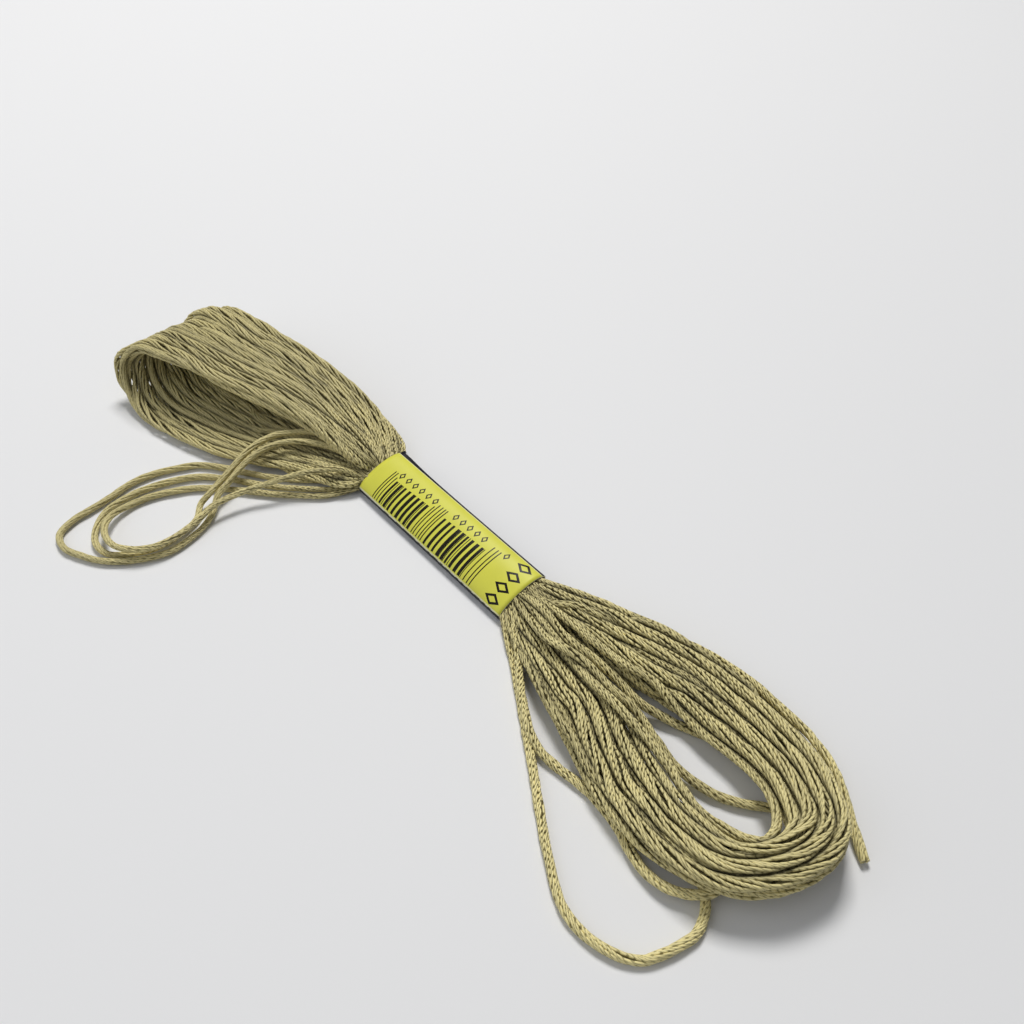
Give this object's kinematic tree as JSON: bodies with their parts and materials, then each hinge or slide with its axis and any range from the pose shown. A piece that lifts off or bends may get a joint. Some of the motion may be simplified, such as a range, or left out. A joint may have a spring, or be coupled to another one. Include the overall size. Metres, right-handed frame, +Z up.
{
  "type": "embroidery floss hank",
  "caption": "Hank of stranded embroidery floss gathered at its waist by a printed paper band, open in a lobe at each end, with slack turns and a cut end beside it.",
  "frame": {"origin": "on the flat underside of the paper band, at the middle of its length", "axes": "+X along the hank towards the flat, ring-like lobe, +Y across it, away from the slack turns, +Z up from the surface it lies on"},
  "size_m": [0.1434, 0.0614, 0.0117],
  "materials": {
    "floss": "mercerised cotton with a soft sheen",
    "band_paper": "printed paper with a light gloss"
  },
  "bodies": {
    "root": {"hank_body": "floss", "paper_band": "band_paper", "slack_loop_near": "floss", "slack_strand_near": "floss", "slack_loop_far_1": "floss", "slack_loop_far_2": "floss", "slack_loop_far_3": "floss", "cut_end": "floss"}
  },
  "joints": []
}
